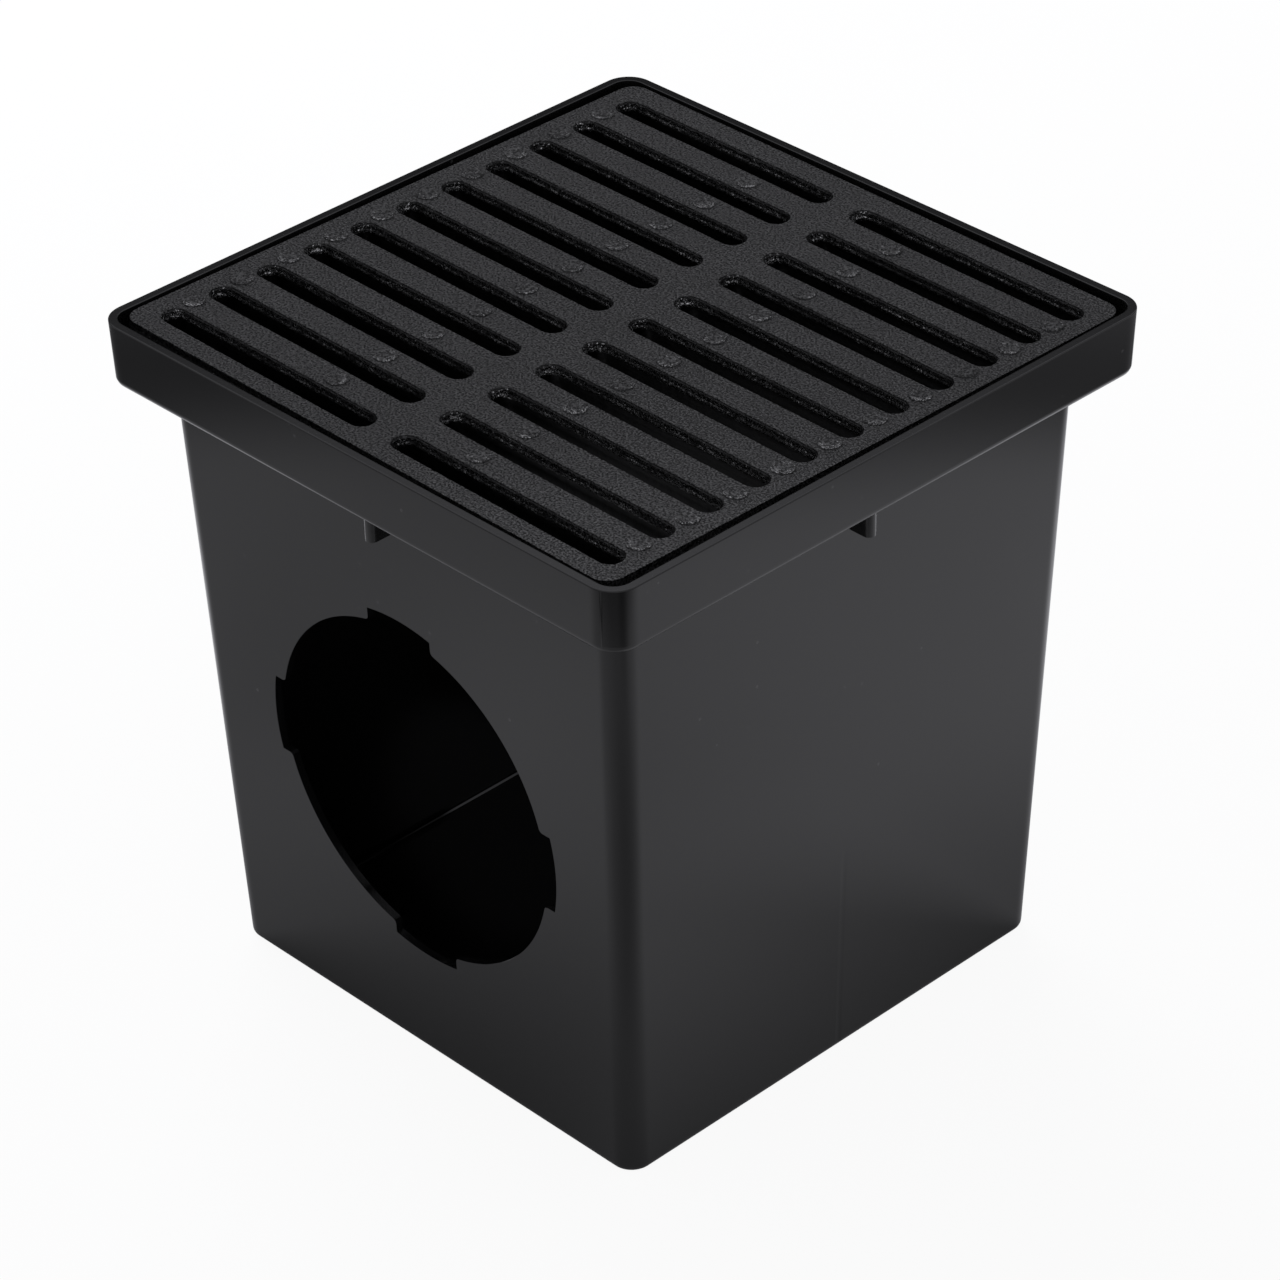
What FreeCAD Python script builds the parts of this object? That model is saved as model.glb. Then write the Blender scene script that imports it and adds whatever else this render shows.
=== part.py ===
import FreeCAD, Part
import math
import os

# Catch basin with a gully grate: a moulded plastic box with an outward rim, and a cast-iron slotted
# grate that lies loose in the rim. Millimetres, +Z up, origin at the middle of the base.
# The outlet that shows in the front view is on the -Y side, and the slots run along X.

# Basin, outside. The body stands in from the rim by its inset, and narrows from the skirt to the base
# by its taper, both on each side.
basin_height = 327.2
rim_width = 318.0
rim_corner = 13.0
rim_wall = 4.2
rim_edge_chamfer = 0.7
skirt_height = 29.4
skirt_draft = 0.9
body_inset = 19.6
body_taper = 10.5
body_corner = 10.7
base_edge_round = 3.4

# Basin, inside
body_wall = 3.8
floor_thickness = 3.8
floor_round = 5.0
ledge_thickness = 4.0

# Pipe outlets: one round hole through the front wall and one in line behind it. Four notches in the
# hole's edge take the lugs of a pipe adapter.
outlet_radius = 83.6
outlet_height = 145.8
outlet_offset = 2.9
notch_depth = 6.0
notch_width = 39.2
notch_mouth_round = 2.4

# Small round-nosed rib under the skirt, at the middle of each wall
rib_width = 6.3
rib_reach = 10.0
rib_drop = 19.1

# Grate: the casting is widest at its parting line and tapers from there, up and down
grate_play = 2.9
grate_recess = 0.6
grate_thickness = 15.0
grate_corner = 9.4
grate_edge_chamfer = 0.8
parting_depth = 3.7
upper_draft = 0.5
lower_draft = 1.2

# Slots: sizes at the parting line, where a slot is narrowest. The borders are the plate's solid edge
# past the slots' ends and beside the outer slots.
slot_columns = 2
slot_rows = 11
slot_width = 10.2
middle_rib = 17.2
end_border = 11.3
side_border = 12.7
slot_edge_chamfer = 0.7
pattern_shift_x = 0.8
pattern_shift_y = -1.1

# Raised discs on the bars between the slots
disc_radius = 5.2
disc_height = 0.8
disc_from_edge = 13.4
disc_from_middle = 44.2

# Flat sides that stand for a full circle on discs and slot ends, which repeat too often for true arcs
round_sides = 16

# How the loose grate lies: its corners have swung out by this share of its play
swing_share = 0.63

# Heights worked out from the sizes above
skirt_bottom = basin_height - skirt_height
grate_top = basin_height - grate_recess
seat_height = grate_top - grate_thickness
ledge_bottom = seat_height - ledge_thickness
rib_bottom = skirt_bottom - rib_drop

# Widths worked out from the sizes above
body_width_at_skirt = rim_width - 2 * body_inset
body_width_at_base = body_width_at_skirt - 2 * body_taper
seat_width = rim_width - 2 * rim_wall
grate_width = seat_width - 2 * grate_play

# Slot pattern worked out from the sizes above
slot_length = (grate_width - 2 * end_border - (slot_columns - 1) * middle_rib) / slot_columns
slot_pitch = (grate_width - 2 * side_border - slot_width) / (slot_rows - 1)

# Overlap of cutting tools past the faces that they cut, and the largest difference that counts as none
past = 5.0
near = 0.01


def vec(x, y, z):
    return FreeCAD.Vector(x, y, z)


def rounded_square(width, corner, z):
    # Closed outline at height z: four sides joined by quarter arcs
    half = width / 2
    flat = half - corner
    bulge = flat + corner * math.sqrt(0.5)
    edges = []
    for quarter in range(4):
        turn = FreeCAD.Rotation(vec(0, 0, 1), 90 * quarter)
        side_start = turn.multVec(vec(half, -flat, z))
        side_end = turn.multVec(vec(half, flat, z))
        arc_middle = turn.multVec(vec(bulge, bulge, z))
        arc_end = turn.multVec(vec(flat, half, z))
        edges.append(Part.LineSegment(side_start, side_end).toShape())
        edges.append(Part.Arc(side_end, arc_middle, arc_end).toShape())
    return Part.Wire(edges)


def half_round(x, radius, start, z):
    # Corners of half a circle about (x, 0), counter-clockwise from this angle in degrees
    corners = []
    for step in range(round_sides // 2 + 1):
        angle = math.radians(start + step * 360 / round_sides)
        corners.append(vec(x + radius * math.cos(angle), radius * math.sin(angle), z))
    return corners


def slot_outline(length, width, z):
    # Closed outline at height z: two straight sides and two half-round ends
    nose = width / 2
    straight = length / 2 - nose
    corners = half_round(straight, nose, -90, z) + half_round(-straight, nose, 90, z)
    return Part.makePolygon(corners + corners[:1])


def stacked(outlines):
    # One solid through the outlines, with flat-sided steps from each to the next
    return Part.makeLoft(outlines, True, True)


def body_width(z):
    # Outside width of the tapering body at height z
    growth = (body_width_at_skirt - body_width_at_base) / skirt_bottom
    return body_width_at_base + growth * z


def skirt_width(z):
    # Outside width of the rim and its skirt at height z
    return rim_width - 2 * skirt_draft * (basin_height - z) / skirt_height


def square_corners(width, z):
    half = width / 2
    return [vec(-half, -half, z), vec(half, -half, z), vec(half, half, z), vec(-half, half, z)]


def flat_face(corners):
    return Part.Face(Part.makePolygon(corners + corners[:1]))


def tapered_block(low_width, low, high_width, high):
    # Square block with flat tapering sides and sharp edges
    lower = square_corners(low_width, low)
    upper = square_corners(high_width, high)
    faces = [flat_face(lower[::-1]), flat_face(upper)]
    for side in range(4):
        following = (side + 1) % 4
        faces.append(flat_face([lower[side], lower[following], upper[following], upper[side]]))
    return Part.Solid(Part.Shell(faces))


def edges_at(shape, z):
    # All edges that lie flat at height z
    found = []
    for edge in shape.Edges:
        box = edge.BoundBox
        if abs(box.ZMin - z) < near and abs(box.ZMax - z) < near:
            found.append(edge)
    return found


def tapered_box(inset, low, high, corner, low_round):
    # Solid that follows the body's taper, this far inside its faces, with rounded upright corners
    # and a rounded lower edge
    box = tapered_block(body_width(low) - 2 * inset, low, body_width(high) - 2 * inset, high)
    upright = [edge for edge in box.Edges if edge.BoundBox.ZLength > (high - low) / 2]
    box = box.makeFillet(corner, upright)
    return box.makeFillet(low_round, edges_at(box, low))


def make_body():
    # The body, solid so far, up to the underside of the ledge
    return tapered_box(0, 0, ledge_bottom, body_corner, base_edge_round)


def make_hollow():
    # Inside of the body, from the floor up through the ledge
    return tapered_box(body_wall, floor_thickness, seat_height, body_corner - body_wall, floor_round)


def make_rim():
    # Upright rim wall with its skirt below, and the ledge that joins both to the body
    block = stacked([
        rounded_square(skirt_width(skirt_bottom), rim_corner - skirt_draft, skirt_bottom),
        rounded_square(skirt_width(basin_height), rim_corner, basin_height),
    ])
    block = block.makeChamfer(rim_edge_chamfer, edges_at(block, basin_height))
    seat = stacked([
        rounded_square(seat_width, rim_corner - rim_wall, seat_height),
        rounded_square(seat_width, rim_corner - rim_wall, basin_height + past),
    ])
    lowest = skirt_bottom - past
    channel = stacked([
        rounded_square(skirt_width(lowest) - 2 * rim_wall, rim_corner - rim_wall, lowest),
        rounded_square(skirt_width(ledge_bottom) - 2 * rim_wall, rim_corner - rim_wall, ledge_bottom),
    ])
    return block.cut(seat).cut(channel)


def make_rib():
    # Under the ledge on the +X wall, its root buried in the wall and its nose a half round
    nose = rib_width / 2
    tip = body_width(rib_bottom) / 2 + rib_reach
    root = body_width(rib_bottom) / 2 - body_wall / 2
    outline = Part.Wire([
        Part.LineSegment(vec(root, nose, rib_bottom), vec(root, -nose, rib_bottom)).toShape(),
        Part.LineSegment(vec(root, -nose, rib_bottom), vec(tip - nose, -nose, rib_bottom)).toShape(),
        Part.Arc(
            vec(tip - nose, -nose, rib_bottom),
            vec(tip, 0, rib_bottom),
            vec(tip - nose, nose, rib_bottom),
        ).toShape(),
        Part.LineSegment(vec(tip - nose, nose, rib_bottom), vec(root, nose, rib_bottom)).toShape(),
    ])
    return Part.Face(outline).extrude(vec(0, 0, ledge_bottom - rib_bottom))


def make_outlet():
    # Cutting tool for both outlets: a cylinder along Y with four notches that follow its curve
    reach = rim_width
    outer = outlet_radius + notch_depth
    along_y = vec(0, 1, 0)
    start = vec(0, -reach / 2, 0)
    disc = Part.makeCylinder(outlet_radius, reach, start, along_y)
    notch_limit = Part.makeCylinder(outer, reach, start, along_y)
    upright = Part.makeBox(notch_width, reach, 2 * outer + past, vec(-notch_width / 2, -reach / 2, -outer - past / 2))
    level = Part.makeBox(2 * outer + past, reach, notch_width, vec(-outer - past / 2, -reach / 2, -notch_width / 2))
    notches = upright.fuse(level).common(notch_limit)
    tool = disc.fuse(notches).removeSplitter()
    mouths = []
    for edge in tool.Edges:
        middle = edge.CenterOfMass
        at_mouth = abs(math.hypot(middle.x, middle.z) - outlet_radius) < near
        if at_mouth and edge.Length > reach - near:
            mouths.append(edge)
    tool = tool.makeFillet(notch_mouth_round, mouths)
    tool.translate(vec(outlet_offset, 0, outlet_height))
    return tool


def make_basin():
    hollow = make_hollow()
    body = make_body().cut(hollow).cut(make_outlet())
    shell = make_rim().cut(hollow).fuse(body)
    for quarter in range(4):
        rib = make_rib()
        rib.rotate(vec(0, 0, 0), vec(0, 0, 1), 90 * quarter)
        shell = shell.fuse(rib)
    return shell.removeSplitter()


def make_plate():
    # Grate blank about its own middle, with its top face at height 0
    corner = grate_corner
    top_width = grate_width - 2 * upper_draft
    return stacked([
        rounded_square(grate_width - 2 * lower_draft, corner - lower_draft, -grate_thickness),
        rounded_square(grate_width, corner, -parting_depth),
        rounded_square(top_width, corner - upper_draft, -grate_edge_chamfer),
        rounded_square(top_width - 2 * grate_edge_chamfer, corner - upper_draft - grate_edge_chamfer, 0),
    ])


def make_slot():
    # Cutting tool for one slot: narrowest at the parting line, with a chamfered mouth
    foot = 2 * lower_draft
    mouth = 2 * upper_draft
    lip = mouth + 2 * slot_edge_chamfer
    return stacked([
        slot_outline(slot_length + foot, slot_width + foot, -grate_thickness),
        slot_outline(slot_length, slot_width, -parting_depth),
        slot_outline(slot_length + mouth, slot_width + mouth, -slot_edge_chamfer),
        slot_outline(slot_length + lip, slot_width + lip, 0),
    ])


def make_disc(x, y):
    # Raised disc with its foot sunk into the plate
    foot = -disc_height
    corners = half_round(0, disc_radius, 0, foot) + half_round(0, disc_radius, 180, foot)[1:]
    disc = Part.Face(Part.makePolygon(corners)).extrude(vec(0, 0, 2 * disc_height))
    disc.translate(vec(x, y, 0))
    return disc


def make_grate():
    plate = make_plate()
    slots = []
    for column in range(slot_columns):
        for row in range(slot_rows):
            slot = make_slot()
            x = (column - (slot_columns - 1) / 2) * (slot_length + middle_rib) + pattern_shift_x
            y = (row - (slot_rows - 1) / 2) * slot_pitch + pattern_shift_y
            slot.translate(vec(x, y, 0))
            slots.append(slot)
    plate = plate.cut(Part.makeCompound(slots))

    discs = []
    disc_outer_x = grate_width / 2 - disc_from_edge
    for bar in range(slot_rows - 1):
        y = (bar - (slot_rows - 2) / 2) * slot_pitch + pattern_shift_y
        for x in (-disc_outer_x, -disc_from_middle, disc_from_middle, disc_outer_x):
            discs.append(make_disc(x, y))
    plate = plate.fuse(discs).removeSplitter()

    # The loose casting lies a little turned in its seat
    turn = -math.degrees(math.asin(swing_share * grate_play / (grate_width / 2)))
    plate.rotate(vec(0, 0, 0), vec(0, 0, 1), turn)
    plate.translate(vec(0, 0, grate_top))
    return plate


os.makedirs("parts", exist_ok=True)
for node, shape in (("basin", make_basin()), ("grate", make_grate())):
    shape.exportStep("parts/" + node + ".step")
    box = shape.BoundBox
    print(node, "solids", len(shape.Solids), "valid", shape.isValid(), "volume cm3", round(shape.Volume / 1000, 1))
    print("  from", round(box.XMin, 2), round(box.YMin, 2), round(box.ZMin, 2))
    print("  to", round(box.XMax, 2), round(box.YMax, 2), round(box.ZMax, 2))
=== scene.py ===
import math

import bmesh
import bpy
from mathutils import Matrix, Vector


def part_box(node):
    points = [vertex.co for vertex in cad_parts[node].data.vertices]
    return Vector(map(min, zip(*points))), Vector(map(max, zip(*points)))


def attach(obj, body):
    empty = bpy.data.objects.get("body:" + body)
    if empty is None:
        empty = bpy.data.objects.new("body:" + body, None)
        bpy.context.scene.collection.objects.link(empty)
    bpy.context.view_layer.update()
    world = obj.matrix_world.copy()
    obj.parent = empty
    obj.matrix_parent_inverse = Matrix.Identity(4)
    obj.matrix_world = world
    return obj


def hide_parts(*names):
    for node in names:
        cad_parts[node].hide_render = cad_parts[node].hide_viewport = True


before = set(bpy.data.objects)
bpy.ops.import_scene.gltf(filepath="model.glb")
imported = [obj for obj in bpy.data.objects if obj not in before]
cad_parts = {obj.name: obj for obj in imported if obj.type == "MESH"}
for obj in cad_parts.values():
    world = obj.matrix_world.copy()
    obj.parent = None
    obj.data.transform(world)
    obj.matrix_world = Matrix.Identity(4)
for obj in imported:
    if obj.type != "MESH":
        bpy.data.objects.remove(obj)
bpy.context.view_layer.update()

mm = 0.001
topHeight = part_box("basin")[1].z  # of the rim, in metres
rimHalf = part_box("basin")[1].x    # half its width


# Node trees: sockets that add, multiply and compare as Python values

class Wire:
    def __init__(self, tree, socket):
        self.tree = tree
        self.socket = socket

    def maths(self, operation, other=None, swapped=False):
        pair = [self] if other is None else [self, other]
        if swapped:
            pair.reverse()
        return self.tree.node("ShaderNodeMath", {"operation": operation}, dict(enumerate(pair)))[0]

    def __add__(self, other): return self.maths("ADD", other)
    def __radd__(self, other): return self.maths("ADD", other, True)
    def __sub__(self, other): return self.maths("SUBTRACT", other)
    def __rsub__(self, other): return self.maths("SUBTRACT", other, True)
    def __mul__(self, other): return self.maths("MULTIPLY", other)
    def __rmul__(self, other): return self.maths("MULTIPLY", other, True)
    def __truediv__(self, other): return self.maths("DIVIDE", other)
    def __gt__(self, other): return self.maths("GREATER_THAN", other)
    def __lt__(self, other): return self.maths("LESS_THAN", other)
    def __abs__(self): return self.maths("ABSOLUTE")

    def smooth(self, low, high):  # 0 below low, 1 above high, and a soft step between
        settings = {"interpolation_type": "SMOOTHSTEP"}
        values = {"Value": self, "From Min": low, "From Max": high}
        return self.tree.node("ShaderNodeMapRange", settings, values)[0]


class Node:
    def __init__(self, tree, node):
        self.tree = tree
        self.node = node

    def __getitem__(self, key):
        return Wire(self.tree, self.node.outputs[key])


class Tree:
    def __init__(self, nodeTree):
        self.nodeTree = nodeTree

    def node(self, kind, settings=None, values=None):
        node = self.nodeTree.nodes.new(kind)
        for name, value in (settings or {}).items():
            setattr(node, name, value)
        for key, value in (values or {}).items():
            for one in value if isinstance(value, list) else [value]:
                if isinstance(one, Node):
                    one = one[0]
                if isinstance(one, Wire):
                    self.nodeTree.links.new(one.socket, node.inputs[key])
                else:
                    node.inputs[key].default_value = one
        return Node(self, node)


# Meshes

def turnFacesOut(mesh):
    shape = bmesh.new()
    shape.from_mesh(mesh)
    bmesh.ops.recalc_face_normals(shape, faces=shape.faces)
    shape.to_mesh(mesh)
    shape.free()


def inScene(name, data):
    piece = bpy.data.objects.new(name, data)
    bpy.context.scene.collection.objects.link(piece)
    return piece


def meshObject(name, points, faces):
    mesh = bpy.data.meshes.new(name)
    mesh.from_pydata(points, [], faces)
    piece = inScene(name, mesh)
    turnFacesOut(mesh)
    return piece


def applyModifiers(piece):  # works them into a plain mesh
    depsgraph = bpy.context.evaluated_depsgraph_get()
    mesh = bpy.data.meshes.new_from_object(piece.evaluated_get(depsgraph))
    mesh.name = piece.name
    piece.modifiers.clear()
    piece.data = mesh


def combine(piece, other, operation):
    step = piece.modifiers.new(operation, "BOOLEAN")
    step.operation = operation
    step.solver = "EXACT"
    step.object = other
    applyModifiers(piece)
    bpy.data.objects.remove(other)


def shadeByAngle(piece, degrees):
    mesh = piece.data
    mesh.polygons.foreach_set("use_smooth", [True] * len(mesh.polygons))
    mesh.set_sharp_from_angle(angle=math.radians(degrees))


# Catch basin: one moulding, swept round a rounded square

basin = {                 # all in mm, unless a comment says otherwise
    "height": topHeight / mm,
    "rimHalf": rimHalf / mm,
    "rimCorner": 13.0,
    "rimWall": 4.2,
    "rimOuterRound": 0.4,
    "rimInnerRound": 0.3,
    "skirtHeight": 29.4,
    "skirtDraft": 0.9,
    "footBevel": 1.1,     # height of the skirt's bevelled foot, and how far that draws it in
    "footInset": 0.45,
    "footRound": 0.3,
    "footTurn": 22.0,     # degrees at which that round runs into the bevel
    "bevelSoftness": 0.15,   # half the height of the soft edge above that bevel, and its depth
    "bevelDepth": 0.06,
    "bodyInset": 19.6,
    "bodyTaper": 10.5,
    "bodyCorner": 10.7,
    "baseRound": 3.4,
    "wall": 3.8,
    "floor": 3.8,
    "floorRound": 2.4,
    "floorCorner": 0.5,   # the sharpest corner that the floor's outline gets
    "ledge": 4.0,
    "ledgeRound": 0.6,
    "seatDepth": 15.6,
    "cornerSteps": 14,    # straight strips in each rounded corner
    "sideSteps": 8,       # strips along each side
    "guard": 1.2,         # flat strip beside a round, which keeps the wall's shading flat
    "lipGuard": 0.25,     # the same beside the rim's lips
    "sideBow": 0.45,      # how far the long walls are drawn in by cooling
    "mouldLine": (20.4, 22.0, 23.6),   # degrees round each corner, where the mould's halves met
    "mouldFin": 0.2,      # how far that line stands proud on the skirt
    "sharpFrom": 30.0,    # degrees from which an edge is shaded sharp
}

outlet = {
    "radius": 83.6,
    "height": 145.8,
    "offset": 2.9,
    "notchDepth": 6.0,
    "notchWidth": 39.2,
    "mouthRound": 2.4,    # the rounded corners beside each notch
    "arcStep": 2.0,       # degrees
    "mouthStep": 15.0,    # degrees, on those corners
    "edgeRound": 0.35,
    "cutReach": 20.0,     # how far the cut runs past the wall's outer face on either side
}

rib = {
    "width": 6.3,
    "reach": 10.0,
    "drop": 19.1,         # its height below the skirt
    "steps": 10,          # strips round its nose
    "edgeRound": 0.3,
    "edgeMiddle": 0.3,    # share of that round at which its middle point stands
}


# Heights and a corner that several parts of the wall share
skirtFoot = basin["height"] - basin["skirtHeight"]
seat = basin["height"] - basin["seatDepth"]
ledgeFoot = seat - basin["ledge"]
rimInsideCorner = basin["rimCorner"] - basin["rimWall"]


def bodyHalf(z):
    baseHalf = basin["rimHalf"] - basin["bodyInset"] - basin["bodyTaper"]
    return baseHalf + basin["bodyTaper"] * z / skirtFoot


def skirtHalf(z):
    return basin["rimHalf"] - basin["skirtDraft"] * (basin["height"] - z) / basin["skirtHeight"]


def cornerSwings():
    # degrees of the points round a corner: evenly spaced, and closer together at the mould's line
    start, middle, end = basin["mouldLine"]
    even = [90 * step / basin["cornerSteps"] for step in range(basin["cornerSteps"] + 1)]
    return sorted([swing for swing in even if not start - 1 < swing < end + 1] + [start, middle, end])


def sweepRing(half, corner, z, fin=0):
    # one turn of the wall, counter-clockwise from the corner between +X and +Y
    points = []
    flat = half - corner
    length = 2 * flat
    guard = basin["guard"]
    stations = [guard]
    stations += [length * i / basin["sideSteps"] for i in range(1, basin["sideSteps"])]
    stations += [length - guard]
    bow = basin["sideBow"] * math.sin(math.pi * min(1, z / basin["height"]))
    swings = cornerSwings()
    for quarter in range(4):
        turn = Matrix.Rotation(math.radians(90 * quarter), 3, "Z")
        for swing in swings:
            angle = math.radians(swing)
            out = corner + (fin if swing == basin["mouldLine"][1] else 0)
            spot = Vector((flat + out * math.cos(angle), flat + out * math.sin(angle), z))
            points.append(turn @ spot)
        for station in stations:
            share = station / length
            inward = bow * 4 * share * (1 - share)
            points.append(turn @ Vector((flat - station, half - inward, z)))
    return points


def roundOff(half, corner, z, radius, start, end, steps):
    # rings of a rounded edge: half and z are the arc's centre, start and end its angles in degrees
    rings = []
    for step in range(steps + 1):
        angle = math.radians(start + (end - start) * step / steps)
        out = radius * math.cos(angle)
        rings.append((half + out, corner + out, z + radius * math.sin(angle)))
    return rings


# Every ring of the wall is its half width, corner radius and height, and on the skirt also the mould's
# fin. They run from under the base up and over the rim and down to the floor inside.

def bodyRings():  # under the base, round its edge and up the outside
    b = basin
    corner = b["bodyCorner"]
    low = b["baseRound"]
    centre = bodyHalf(low) - low
    rings = [(centre - b["guard"], corner - low, 0)]
    rings += roundOff(centre, corner - low, low, low, -90, 0, 6)
    rings.append((bodyHalf(low + b["guard"]), corner, low + b["guard"]))
    for share in (0.25, 0.5, 0.75, 1):
        z = low + (ledgeFoot - low) * share
        rings.append((bodyHalf(z), corner, z))
    return rings


def skirtRings():  # down behind the skirt, round its foot and up its face
    b = basin
    edge = b["ledgeRound"]
    inside = skirtHalf(skirtFoot) - b["rimWall"]
    rings = [
        (skirtHalf(ledgeFoot) - b["rimWall"], rimInsideCorner, ledgeFoot),
        (inside, rimInsideCorner, skirtFoot + edge),
    ]
    rings += roundOff(inside + edge, rimInsideCorner + edge, skirtFoot + edge, edge, 180, 270, 3)[1:]
    foot = b["footRound"]
    outside = skirtHalf(skirtFoot) - b["footInset"] - foot
    corner = b["rimCorner"] - b["footInset"] - foot
    rings += roundOff(outside, corner, skirtFoot + foot, foot, -90, -b["footTurn"], 3)

    bevelTop = skirtFoot + foot + b["footBevel"]
    soft = b["bevelSoftness"]
    depth = b["bevelDepth"]
    above = bevelTop + b["guard"]
    below = b["height"] - b["rimOuterRound"] - b["lipGuard"]
    return rings + [
        (skirtHalf(bevelTop) - depth, b["rimCorner"] - depth, bevelTop - soft),
        (skirtHalf(bevelTop + soft), b["rimCorner"], bevelTop + soft),
        (skirtHalf(above), b["rimCorner"], above, b["mouldFin"]),
        (skirtHalf(below), b["rimCorner"], below, b["mouldFin"]),
    ]


def rimRings():  # over the rim's two lips and down to the seat
    b = basin
    top = b["height"]
    strip = b["lipGuard"]
    lip = b["rimOuterRound"]
    half = skirtHalf(top - lip) - lip
    rings = roundOff(half, b["rimCorner"] - lip, top - lip, lip, 0, 90, 5)
    rings.append((half - strip, b["rimCorner"] - lip - strip, top))
    half = b["rimHalf"] - b["rimWall"]
    lip = b["rimInnerRound"]
    rings.append((half + lip + strip, rimInsideCorner + lip + strip, top))
    rings += roundOff(half + lip, rimInsideCorner + lip, top - lip, lip, 90, 180, 6)
    rings.append((half, rimInsideCorner, top - lip - b["guard"]))
    rings.append((half, rimInsideCorner, seat))
    return rings


def insideRings():  # round the ledge's edge, down the inside and onto the floor
    b = basin
    wall = b["wall"]
    corner = b["bodyCorner"] - wall
    edge = b["ledgeRound"]
    half = bodyHalf(seat) - wall
    rings = [(half + edge + b["guard"], corner + edge + b["guard"], seat)]
    rings += roundOff(half + edge, corner + edge, seat - edge, edge, 90, 180, 3)
    inner = b["floorRound"]
    top = b["floor"]
    heights = [top + inner + (seat - top - inner) * share for share in (0.75, 0.5, 0.25)]
    for z in heights + [top + inner + b["guard"]]:
        rings.append((bodyHalf(z) - wall, corner, z))
    half = bodyHalf(top + inner) - wall - inner
    for out, reach, z in roundOff(half, corner - inner, top + inner, inner, 0, -90, 7):
        rings.append((out, max(b["floorCorner"], reach), z))
    rings.append((half - b["guard"], b["floorCorner"], top))
    return rings


def makeShell():
    profile = bodyRings() + skirtRings() + rimRings() + insideRings()
    rings = [sweepRing(*ring) for ring in profile]
    count = len(rings[0])
    points = [point * mm for ring in rings for point in ring]
    faces = []
    for level in range(len(rings) - 1):
        low = level * count
        for i in range(count):
            j = (i + 1) % count
            faces.append((low + i, low + j, low + count + j, low + count + i))
    faces.append(tuple(range(count))[::-1])
    faces.append(tuple(range((len(rings) - 1) * count, len(rings) * count)))
    return meshObject("catchBasin", points, faces)


def arcPoints(centre, radius, start, end, step):
    count = max(2, round(abs(end - start) / step))
    points = []
    for i in range(count + 1):
        angle = math.radians(start + (end - start) * i / count)
        points.append((centre[0] + radius * math.cos(angle), centre[1] + radius * math.sin(angle)))
    return points


def outletOutline(grow):
    # round hole with four notches, each with rounded mouths, in the plane of the wall
    inner = outlet["radius"] + grow
    outer = inner + outlet["notchDepth"]
    side = outlet["notchWidth"] / 2 + grow
    blend = outlet["mouthRound"] - grow
    outerSwing = math.degrees(math.asin(side / outer))
    mouthSwing = math.degrees(math.asin((side + blend) / (inner + blend)))
    mouth = ((inner + blend) * math.cos(math.radians(mouthSwing)), side + blend)
    quarterTurn = arcPoints((0, 0), outer, -outerSwing, outerSwing, outlet["arcStep"])
    quarterTurn += arcPoints(mouth, blend, 270, 180 + mouthSwing, outlet["mouthStep"])
    quarterTurn += arcPoints((0, 0), inner, mouthSwing, 90 - mouthSwing, outlet["arcStep"])[1:-1]
    nextMouth = (mouth[1], mouth[0])
    quarterTurn += arcPoints(nextMouth, blend, 270 - mouthSwing, 180, outlet["mouthStep"])
    points = []
    for quarter in range(4):
        turn = Matrix.Rotation(math.radians(90 * quarter), 2)
        points += [turn @ Vector(point) for point in quarterTurn]
    return points


def prism(name, sections):
    # closed solid through matching outlines
    count = len(sections[0])
    points = [point for section in sections for point in section]
    faces = [tuple(range(count)), tuple(range((len(sections) - 1) * count, len(sections) * count))[::-1]]
    for level in range(len(sections) - 1):
        low = level * count
        for i in range(count):
            j = (i + 1) % count
            faces.append((low + i, low + count + i, low + count + j, low + j))
    return meshObject(name, points, faces)


def makeOutletTool(side):
    # side is -1 for the front wall and 1 for the rear one; the mouth flares at the wall's outer face
    lean = basin["bodyTaper"] / skirtFoot
    face = bodyHalf(outlet["height"])
    reach = outlet["cutReach"]
    edge = outlet["edgeRound"]
    sections = []
    for depth, grow in ((-reach, 0), (-edge, 0), (0, edge)):
        section = []
        for x, z in outletOutline(grow):
            y = face + lean * z + depth
            section.append(Vector((x + outlet["offset"], side * y, z + outlet["height"])) * mm)
        sections.append(section)
    outward = Vector((0, side * reach * mm, 0))
    sections.append([point + outward for point in sections[-1]])
    return prism("outletTool", sections)


def makeRib(quarter):
    nose = rib["width"] / 2
    foot = skirtFoot - rib["drop"]
    head = seat - basin["ledge"] / 2
    tip = bodyHalf(foot) + rib["reach"]
    root = bodyHalf(foot) - basin["wall"] / 2
    edge = rib["edgeRound"]
    middle = edge * rib["edgeMiddle"]
    turn = Matrix.Rotation(math.radians(90 * quarter), 3, "Z")
    sections = []
    for inset, z in ((edge, foot), (middle, foot + middle), (0, foot + edge), (0, head)):
        outline = [(root, nose - inset), (root, inset - nose)]
        outline += arcPoints((tip - nose, 0), nose - inset, -90, 90, 180 / rib["steps"])
        sections.append([turn @ Vector((x, y, z)) * mm for x, y in outline])
    return prism("rib", sections)


def makeBasin():
    shell = makeShell()
    for side in (-1, 1):
        combine(shell, makeOutletTool(side), "DIFFERENCE")
    for quarter in range(4):
        combine(shell, makeRib(quarter), "UNION")
    shadeByAngle(shell, basin["sharpFrom"])
    return shell


# Iron grate: plate edge, slots and discs are swept in Geometry Nodes, and the flats between are filled

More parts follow.
